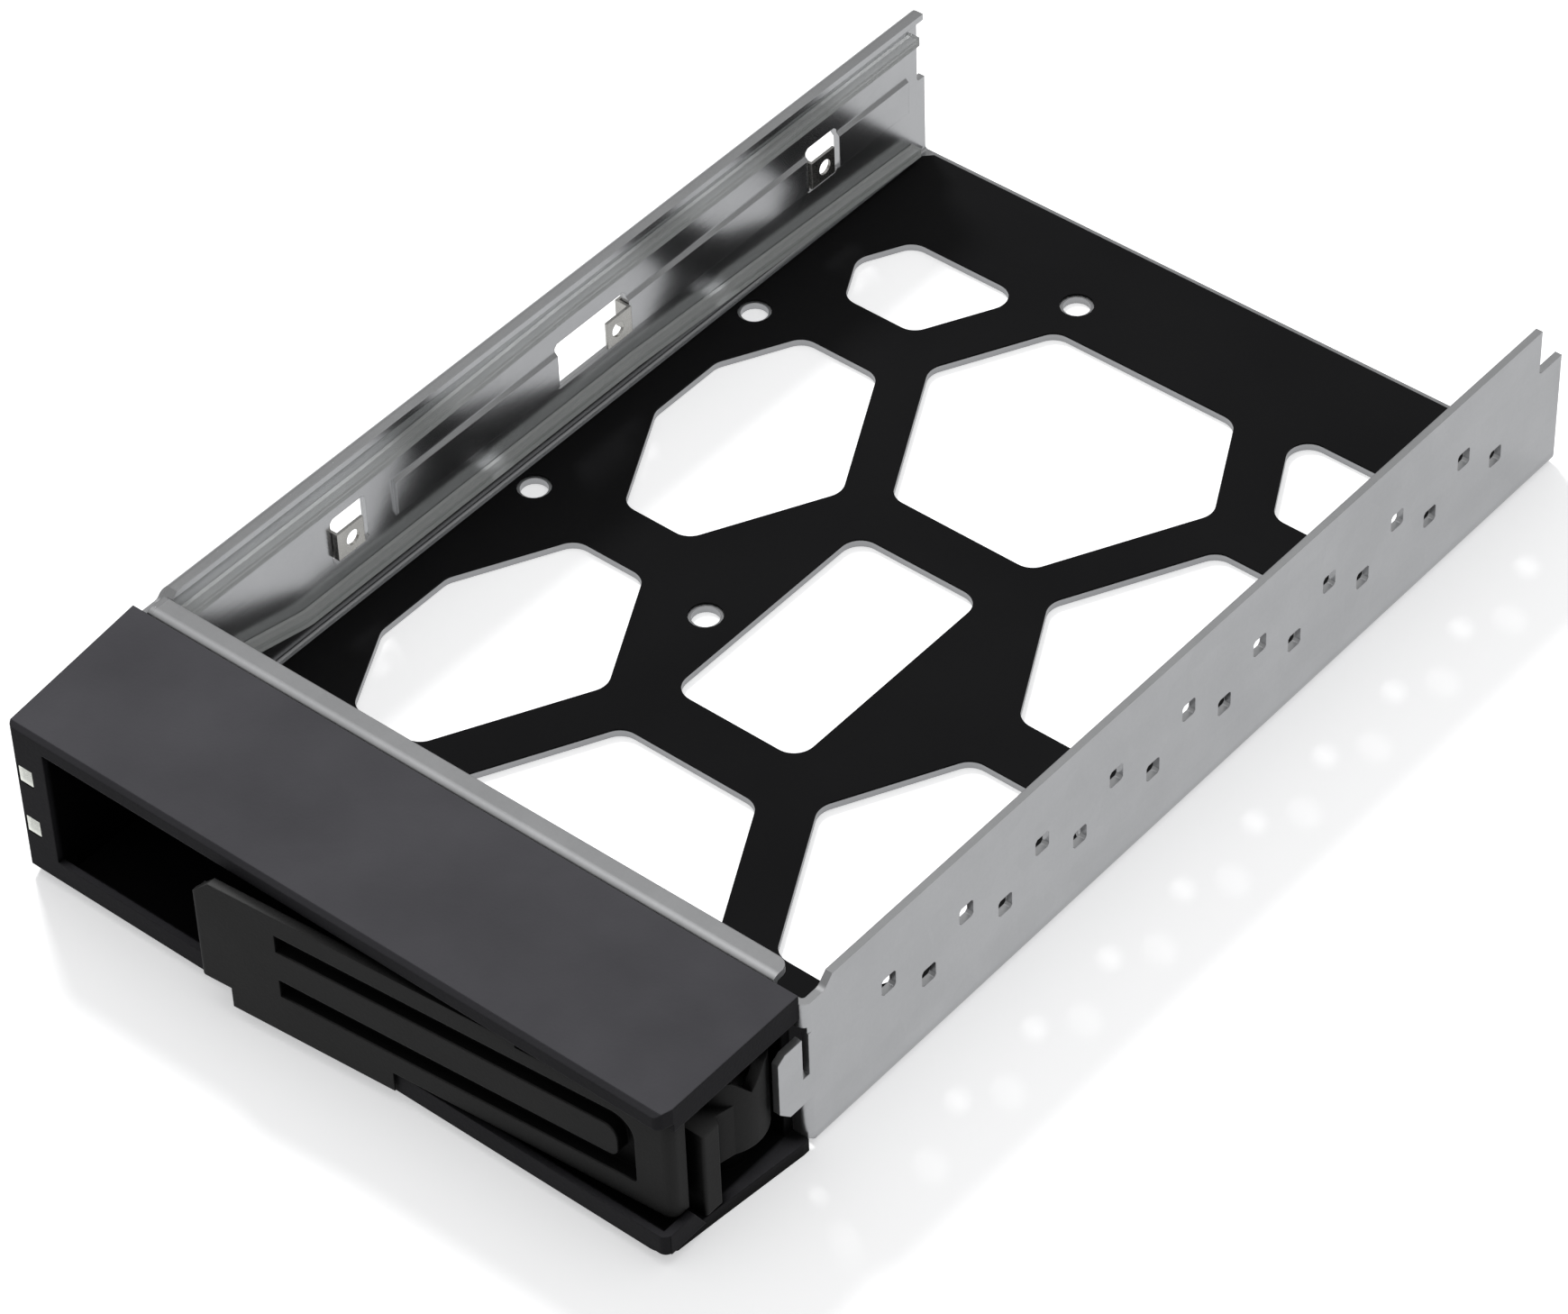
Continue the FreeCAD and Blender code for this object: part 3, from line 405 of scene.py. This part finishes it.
def steel(name, tone, rough):
    """Bare or plated steel with faint patches and a fine grain."""
    darker = [level * 0.86 for level in tone]
    skin = Material(name, Metallic=1.0)
    grain = skin.grain(0.3 * MM)
    edges = skin.group(EDGES, Radius=0.1 * MM, Wear=0.5)
    skin.paint(
        Base_Color=skin.patches(3 * MM, tone, darker, 0.8),
        Roughness=skin.raised(grain, least=rough - 0.05, rise=0.1),
        Normal=skin.bump(grain, 0.1, 0.05 * MM, edges["Normal"]),
    )
    return skin.material


def clear_plastic():
    """Clear light guide with painted light: it glows faintly along its run, and more at its front end, the
    window, in place of light carried along the guide.
    """
    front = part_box("light_guide_upper")[0][1]
    painted_run_glow = (0.06, 0.063, 0.06, 1)
    painted_window_glow = (0.92, 0.94, 0.86, 1)
    # Painted light: the emission makes the guide glow, though no lamp is inside it.
    skin = Material("Clear plastic", Transmission_Weight=0.72, IOR=1.58, Emission_Strength=0.35)
    grain = skin.grain(0.8 * MM)
    window = skin.spread(skin.axes(skin.place)["Y"], front + 1.5 * MM, front + 0.5 * MM)
    skin.paint(
        Base_Color=skin.patches(10 * MM, (0.80, 0.81, 0.81), (0.72, 0.73, 0.73), 0.7),
        Emission_Color=skin.mix(window, painted_run_glow, painted_window_glow),
        Roughness=skin.raised(grain, least=0.12, rise=0.08),
        Normal=skin.bump(grain, strength=0.08, distance=0.1 * MM),
    )
    return skin.material


materials = {
    "galvanised_sheet": galvanised_sheet(),
    "black_film": film(),
    "bezel_plastic": plastic(
        "Bezel plastic", (0.028, 0.0275, 0.0305), (0.036, 0.0355, 0.039), specular=0.04, depth=0.25,
        dust_and_sheen_tone=2.05, rooms=[bezel_room(), jamb_room()],
    ),
    "bracket_plastic": plastic(
        "Bracket plastic", (0.036, 0.036, 0.037), (0.044, 0.044, 0.045), specular=0.08, depth=0.2,
    ),
    "lever_plastic": plastic(
        "Lever plastic", (0.042, 0.042, 0.042), (0.052, 0.052, 0.052), specular=0.06, depth=0.25,
        rooms=[groove_room()], turn=FACE_ANGLE, softness=0.15 * MM,
    ),
    "clear_plastic": clear_plastic(),
    "spring_steel": steel("Spring steel", (0.62, 0.61, 0.58), 0.28),
    "pin_steel": steel("Pin steel", (0.6, 0.6, 0.6), 0.3),
    "screw_steel": steel("Screw steel", (0.66, 0.66, 0.66), 0.25),
}

for part in frame["record"]["subparts"]:
    painted = nodes[part["node"]].data.materials
    painted.clear()
    painted.append(materials[part["material_slot"]])


# Pieces made by Geometry Nodes

class Rule(Tree):
    """Geometry node tree with named size inputs, made into a plain mesh."""

    def __init__(self, name, **sizes):
        super().__init__(bpy.data.node_groups.new(name, "GeometryNodeTree"))
        sockets = self.tree.interface
        sockets.new_socket("Geometry", in_out="INPUT", socket_type="NodeSocketGeometry")
        sockets.new_socket("Geometry", in_out="OUTPUT", socket_type="NodeSocketGeometry")
        self.values = {}
        for key, value in sizes.items():
            label = key.replace("_", " ")
            socket = sockets.new_socket(label, in_out="INPUT", socket_type="NodeSocketFloat")
            self.values[socket.identifier] = float(value)
        self.start = self.add("NodeGroupInput").outputs
        self.end = self.add("NodeGroupOutput").inputs

    def size(self, label, times=None):
        """A named size, or that size times a number."""
        socket = self.start[label.replace("_", " ")]
        return socket if times is None else self.math("MULTIPLY", socket, times)

    def join(self, *parts):
        node = self.add("GeometryNodeJoinGeometry")
        for part in parts:
            self.set(node.inputs[0], part)
        return node.outputs[0]

    def move(self, geometry, **values):
        return self.add("GeometryNodeTransform", Geometry=geometry, **values).outputs[0]

    def mesh(self, geometry, material, points=((0, 0, 0),)):
        """Ends the tree, runs it over the points and gives the result as a plain object."""
        real = self.add("GeometryNodeRealizeInstances", Geometry=geometry)
        painted = self.add("GeometryNodeSetMaterial", Geometry=real.outputs[0], Material=material)
        self.set(self.end[0], painted.outputs[0])
        base = bpy.data.meshes.new(self.tree.name + " points")
        base.from_pydata([tuple(point) for point in points], [], [])
        maker = bpy.data.objects.new(self.tree.name + " maker", base)
        bpy.context.scene.collection.objects.link(maker)
        modifier = maker.modifiers.new("Rule", "NODES")
        modifier.node_group = self.tree
        for identifier, value in self.values.items():
            modifier[identifier] = value
        graph = bpy.context.evaluated_depsgraph_get()
        made = bpy.data.meshes.new_from_object(maker.evaluated_get(graph))
        bpy.data.objects.remove(maker)
        piece = bpy.data.objects.new(self.tree.name, made)
        bpy.context.scene.collection.objects.link(piece)
        return piece


def middle(box, axis):
    low, high = box
    return (low[axis] + high[axis]) / 2


def torsion_spring():
    """Round wire coil in the lever's hub, with a hook below and a leg to the bracket above."""
    low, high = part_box("lever_spring")
    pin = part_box("pivot_pin")
    centre_x = middle(pin, 0)
    centre_y = middle(pin, 1)
    wire = 0.3 * MM
    rule = Rule(
        "torsion_spring",
        Wire=wire,
        Coil=high[0] - centre_x - wire,
        Turns=2.25,
        Rise=high[2] - low[2] - 2 * wire,
        Hook=centre_y - low[1],
        Leg=centre_x - low[0],
        Centre_X=centre_x,
        Centre_Y=centre_y,
        Low=low[2] + wire,
    )
    coil = rule.size("Coil")
    rise = rule.size("Rise")
    spiral = rule.add(
        "GeometryNodeCurveSpiral",
        Resolution=40,
        Rotations=rule.size("Turns"),
        Start_Radius=coil,
        End_Radius=coil,
        Height=rise,
        Reverse=True,
    )
    hook_end = rule.vector(x=coil, y=rule.size("Hook", -1.0))
    hook = rule.add("GeometryNodeCurvePrimitiveLine", Start=rule.vector(x=coil), End=hook_end)
    leg_end = rule.vector(x=rule.size("Leg", -1.0), y=coil, z=rise)
    leg = rule.add("GeometryNodeCurvePrimitiveLine", Start=rule.vector(y=coil, z=rise), End=leg_end)
    path = rule.join(spiral.outputs[0], hook.outputs[0], leg.outputs[0])
    ring = rule.add("GeometryNodeCurvePrimitiveCircle", Resolution=12, Radius=rule.size("Wire")).outputs[0]
    tube = rule.add("GeometryNodeCurveToMesh", Curve=path, Profile_Curve=ring, Fill_Caps=True)
    centre = rule.vector(rule.size("Centre_X"), rule.size("Centre_Y"), rule.size("Low"))
    piece = rule.mesh(rule.move(tube.outputs[0], Translation=centre), materials["spring_steel"])
    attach(piece, "tray")
    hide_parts("lever_spring")


def pan_head(rule):
    """Head on its seat: a rim, and a dome in steps, each with its share of the height and its narrowing."""
    steps = ((0.45, 0.93), (0.33, 0.84), (0.22, 0.7))
    disc = rule.add("GeometryNodeMeshCylinder", Vertices=40, Radius=rule.size("Head"), Depth=rule.size("Rim"))
    kept = rule.add("GeometryNodeCaptureAttribute", {"domain": "FACE"})
    kept.capture_items.new("BOOLEAN", "Top")
    rule.set(kept.inputs["Geometry"], disc.outputs["Mesh"])
    rule.set(kept.inputs["Top"], disc.outputs["Top"])
    top = kept.outputs["Top"]
    shape = rule.move(kept.outputs["Geometry"], Translation=rule.vector(z=rule.size("Rim", 0.5)))
    for share, narrowing in steps:
        rise = rule.size("Dome", share)
        step = rule.add("GeometryNodeExtrudeMesh", Mesh=shape, Selection=top, Offset_Scale=rise)
        top = step.outputs["Top"]
        narrow = rule.add("GeometryNodeScaleElements", Geometry=step.outputs["Mesh"], Selection=top)
        rule.set(narrow.inputs["Scale"], narrowing)
        shape = narrow.outputs[0]
    return shape


def cross_recess(rule, head):
    """The head with two crossed slots cut into its top."""
    wing = rule.size("Wing")
    slot = rule.size("Slot")
    depth = rule.size("Depth")
    top = rule.vector(z=rule.math("ADD", rule.size("Rim"), rule.size("Dome")))
    recess = rule.add("GeometryNodeMeshBoolean", {"operation": "DIFFERENCE", "solver": "EXACT"})
    rule.set(recess.inputs[0], head)
    for size in (rule.vector(wing, slot, depth), rule.vector(slot, wing, depth)):
        bar = rule.add("GeometryNodeMeshCube", Size=size).outputs["Mesh"]
        rule.set(recess.inputs[1], rule.move(bar, Translation=top))
    return recess.outputs[0]


SCREWS = (
    "bezel_screw_left",
    "bezel_screw_centre",
    "bezel_screw_right",
    "bracket_screw_lower",
    "bracket_screw_upper",
)


def pan_screws():
    """Pan head screws with a cross recess, one at each screw's place on the front wall, turned by chance."""
    low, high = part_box("bezel_screw_left")
    rim = 0.8 * MM
    dome = 0.7 * MM
    seat = high[1] - rim - dome
    most_turn = 0.7
    rule = Rule(
        "pan_head_screws",
        Head=(high[0] - low[0]) / 2,
        Rim=rim,
        Dome=dome,
        Shank=1.4 * MM,
        Reach=seat - low[1],
        Slot=0.6 * MM,
        Wing=3.0 * MM,
        Depth=0.9 * MM,
    )
    reach = rule.size("Reach")
    shank = rule.add("GeometryNodeMeshCylinder", Vertices=24, Radius=rule.size("Shank"), Depth=reach)
    hung = rule.move(shank.outputs["Mesh"], Translation=rule.vector(z=rule.size("Reach", -0.5)))
    screw = rule.join(cross_recess(rule, pan_head(rule)), hung)
    laid = rule.move(screw, Rotation=(-math.pi / 2, 0, 0))
    turn = rule.add(
        "FunctionNodeRandomValue",
        {"data_type": "FLOAT_VECTOR"},
        Min=(0, -most_turn, 0),
        Max=(0, most_turn, 0),
        Seed=7,
    )
    copies = rule.add("GeometryNodeInstanceOnPoints", Points=rule.start["Geometry"], Instance=laid)
    rule.set(copies.inputs["Rotation"], turn.outputs["Value"])
    places = [(middle(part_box(name), 0), seat, middle(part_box(name), 2)) for name in SCREWS]
    piece = rule.mesh(copies.outputs[0], materials["screw_steel"], places)
    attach(piece, "tray")
    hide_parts(*SCREWS)


torsion_spring()
pan_screws()


# Stage, light and camera

def paper():
    """White paper, lifted to white for the eye and in reflections, and plain for bounced light."""
    seen_lift = 0.46
    mirrored_lift = 0.64
    bounced_level = 0.3
    seen_level = 0.86
    mirrored_level = 0.08
    skin = Material("Floor paper", Roughness=0.6, Specular_IOR_Level=0.2, Emission_Strength=1.0)
    path = skin.add("ShaderNodeLightPath").outputs
    seen = skin.math("MAXIMUM", path["Is Camera Ray"], path["Is Transmission Ray"])
    mirrored = path["Is Glossy Ray"]
    lift = skin.math("MULTIPLY_ADD", seen, seen_lift, skin.math("MULTIPLY", mirrored, mirrored_lift))
    tone = skin.mix(seen, grey(bounced_level), grey(seen_level))
    tone = skin.mix(mirrored, tone, grey(mirrored_level))
    skin.paint(Base_Color=tone, Emission_Color=skin.mix(lift, grey(0), (0.985, 0.99, 1.0, 1)))
    return skin.material


def floor():
    """Square table top at the foot of the part, far wider than the view."""
    reach = 3.0
    corners = [(-reach, -reach, 0), (reach, -reach, 0), (reach, reach, 0), (-reach, reach, 0)]
    mesh = bpy.data.meshes.new("Floor")
    mesh.from_pydata(corners, [], [(0, 1, 2, 3)])
    mesh.materials.append(paper())
    plane = bpy.data.objects.new("Floor", mesh)
    bpy.context.scene.collection.objects.link(plane)


def lamp(name, place, target, size, power):
    """Soft round lamp that shows in no reflection."""
    light = bpy.data.lights.new(name, "AREA")
    light.shape = "DISK"
    light.size = size
    light.energy = power
    source = bpy.data.objects.new(name, light)
    source.location = place
    source.rotation_euler = (Vector(target) - Vector(place)).to_track_quat("-Z", "Y").to_euler()
    source.visible_glossy = False
    bpy.context.scene.collection.objects.link(source)


def world():
    """Soft studio dome: even to well above the horizon, and brighter overhead."""
    even_level = 0.3
    overhead_level = 1.4
    narrowness = 8.0
    studio = bpy.data.worlds.new("Studio")
    studio.use_nodes = True
    sky = Tree(studio.node_tree)
    height = sky.axes(sky.add("ShaderNodeTexCoord").outputs["Object"])["Z"]
    overhead = sky.math("POWER", sky.math("MAXIMUM", height, 0.0), narrowness)
    background = studio.node_tree.nodes["Background"].inputs
    sky.set(background["Color"], grey(1))
    sky.set(background["Strength"], sky.math("MULTIPLY_ADD", overhead, overhead_level, even_level))
    bpy.context.scene.world = studio


def camera():
    """Camera in front, above and to the right, with a long lens."""
    data = bpy.data.cameras.new("Camera")
    data.lens = 135.5
    data.sensor_width = 36.0
    data.sensor_fit = "HORIZONTAL"
    data.clip_start = 0.01
    data.clip_end = 20.0
    view = bpy.data.objects.new("Camera", data)
    place = Matrix.Translation((0.35133, -0.42949, 0.51094))
    right = Vector((0.76883, 0.63884, -0.02791)).normalized()
    back = Vector((0.47756, -0.54461, 0.68945)).normalized()
    up = back.cross(right).normalized()
    view.matrix_world = place @ Matrix((right, up, back)).transposed().to_4x4()
    bpy.context.scene.collection.objects.link(view)
    bpy.context.scene.camera = view


floor()
world()
lamp("Key", place=(-0.736, 0.432, 0.981), target=(0, 0, 0), size=0.24, power=11.0)
camera()
bpy.context.scene.view_settings.view_transform = "Standard"
